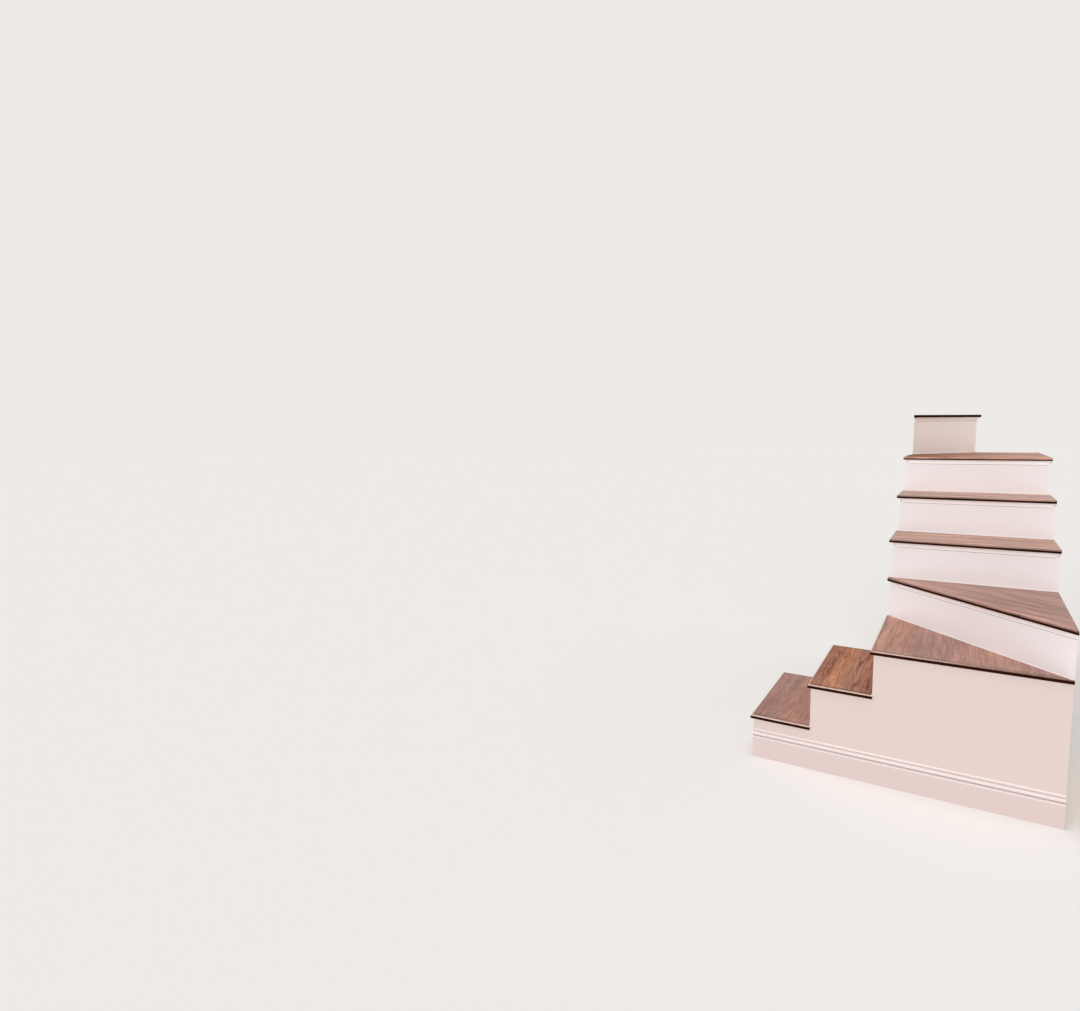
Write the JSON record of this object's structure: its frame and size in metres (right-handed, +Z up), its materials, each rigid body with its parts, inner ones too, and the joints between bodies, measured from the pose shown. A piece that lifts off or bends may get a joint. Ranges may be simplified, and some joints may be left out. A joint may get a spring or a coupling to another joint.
{
  "type": "boxed quarter-turn winder stair",
  "caption": "Boxed winder stair for a small house: wood treads on white risers turn a corner and climb to a landing with a corner box step, over a niche for an appliance",
  "frame": {"origin": "the inner corner of the turn, where the diagonal riser meets the open side, at floor level", "axes": "+X is the way up the lower flight, towards the side wall; +Y is the way up the upper flight, towards the back wall; +Z is up"},
  "size_m": [1.235, 2.3526, 1.678],
  "materials": {
    "tread_wood": "stained, satin clear coat",
    "painted_board": "white semi-gloss paint on plywood",
    "painted_moulding": "white semi-gloss paint on moulded softwood",
    "bare_timber": "planed softwood, unfinished"
  },
  "bodies": {
    "root": {"tread_1": "tread_wood", "tread_2": "tread_wood", "tread_3": "tread_wood", "tread_4": "tread_wood", "tread_5": "tread_wood", "tread_6": "tread_wood", "tread_7": "tread_wood", "tread_8": "tread_wood", "riser_1": "painted_board", "riser_2": "painted_board", "riser_3": "painted_board", "riser_4": "painted_board", "riser_5": "painted_board", "riser_6": "painted_board", "riser_7": "painted_board", "riser_8": "painted_board", "front_panel": "painted_board", "lower_back_panel": "painted_board", "niche_end_panel": "painted_board", "niche_back_panel": "painted_board", "winder_wall_panel": "painted_board", "left_stringer": "painted_board", "wall_stringer": "painted_board", "landing_side_panel": "painted_board", "box_step_side": "painted_board", "box_step_back": "painted_board", "cove_4": "painted_moulding", "cove_5": "painted_moulding", "cove_6": "painted_moulding", "cove_7": "painted_moulding", "cove_8": "painted_moulding", "baseboard_front": "painted_moulding", "baseboard_back": "painted_moulding", "tread_cleat_5": "bare_timber", "tread_cleat_6": "bare_timber", "landing_joist_1": "bare_timber", "landing_joist_2": "bare_timber", "landing_ledger": "bare_timber"}
  },
  "joints": []
}
